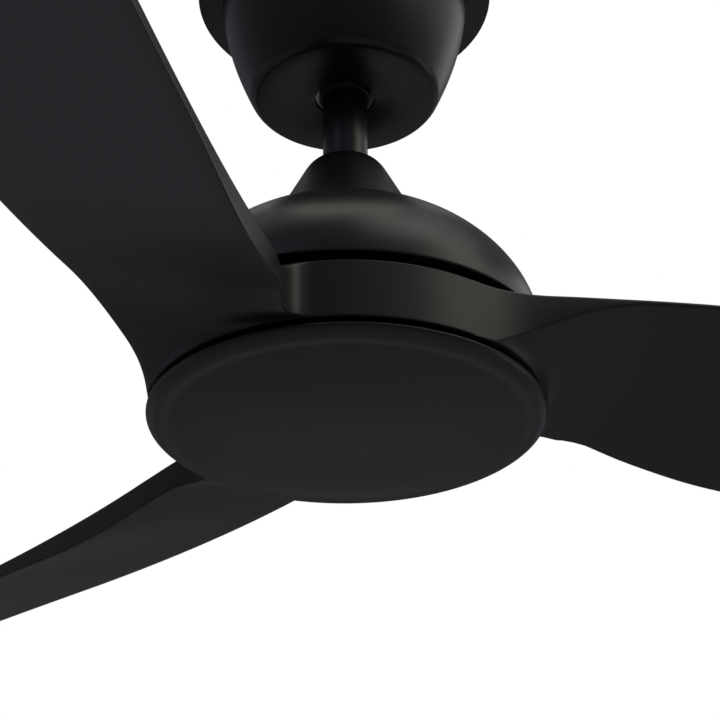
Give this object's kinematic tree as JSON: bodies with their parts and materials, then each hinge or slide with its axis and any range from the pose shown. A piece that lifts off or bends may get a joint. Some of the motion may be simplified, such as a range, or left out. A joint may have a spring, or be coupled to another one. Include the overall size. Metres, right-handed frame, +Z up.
{
  "type": "ceiling fan with light",
  "caption": "Black ceiling fan on a short downrod: dished canopy, domed motor housing, swept blades growing out of a hub wall, and a round twist-on cover in the light's place below.",
  "frame": {"origin": "centre of the mounting's ceiling face", "axes": "+Z up into the ceiling, +X along the first blade, -Y towards the viewer of the picture"},
  "size_m": [1.0882, 1.1228, 0.3202],
  "materials": {
    "black_powder_coat": "satin black powder coat",
    "black_rod": "satin black enamel",
    "black_cover": "satin black enamel",
    "blade_plastic": "satin moulded black plastic",
    "zinc_steel": "zinc plated steel",
    "black_screws": "black oxide steel",
    "bearing_steel": "ground bearing steel",
    "shaft_steel": "turned steel",
    "cast_yoke": "cast alloy with grey paint",
    "ball_nylon": "dark nylon",
    "collar_rubber": "soft rubber",
    "terminal_nylon": "natural nylon",
    "receiver_plastic": "textured plastic",
    "electrical_steel": "stacked electrical steel",
    "copper_wire": "enamelled copper",
    "ferrite": "ferrite",
    "pressed_steel": "dark coated pressed steel"
  },
  "bodies": {
    "ceiling_mount": {"ceiling_plate": "black_powder_coat", "hanger_bracket": "zinc_steel", "canopy": "black_powder_coat", "canopy_screws": "black_screws", "terminal_block": "terminal_nylon", "receiver_box": "receiver_plastic"},
    "hanging": {"hanger_ball": "ball_nylon", "ball_pin": "zinc_steel", "downrod": "black_rod", "rod_collar": "collar_rubber", "coupling_cover": "black_powder_coat", "motor_yoke": "cast_yoke", "yoke_pin": "zinc_steel", "yoke_screws": "zinc_steel", "top_housing": "black_powder_coat", "housing_screws": "zinc_steel", "motor_shaft": "shaft_steel", "bearing_inner_races": "bearing_steel", "stator_core": "electrical_steel", "stator_windings": "copper_wire", "light_base": "pressed_steel", "base_screws": "zinc_steel", "light_connector": "terminal_nylon"},
    "rotor": {"bearing_outer_races": "bearing_steel", "bearing_balls": "bearing_steel", "rotor_lower_shell": "pressed_steel", "rotor_upper_shell": "pressed_steel", "rotor_screws": "black_screws", "back_iron": "electrical_steel", "magnets": "ferrite", "root_1": "blade_plastic", "root_2": "blade_plastic", "root_3": "blade_plastic", "blade_1": "blade_plastic", "blade_2": "blade_plastic", "blade_3": "blade_plastic", "blade_screws": "zinc_steel"},
    "cover": {"blank_cover": "black_cover"}
  },
  "joints": [
    {"name": "ball_swing", "type": "hinge", "parent": "ceiling_mount", "child": "hanging", "pos_m": [0, 0, -0.032], "axis": [1, 0, 0], "range_deg": [-1.5, 1.5]},
    {"name": "rotor_spin", "type": "hinge", "parent": "hanging", "child": "rotor", "pos_m": [0, 0, -0.24], "axis": [0, 0, 1], "continuous": true},
    {"name": "cover_twist", "type": "hinge", "parent": "hanging", "child": "cover", "pos_m": [0, 0, -0.298], "axis": [0, 0, 1], "range_deg": [0, 20]}
  ]
}
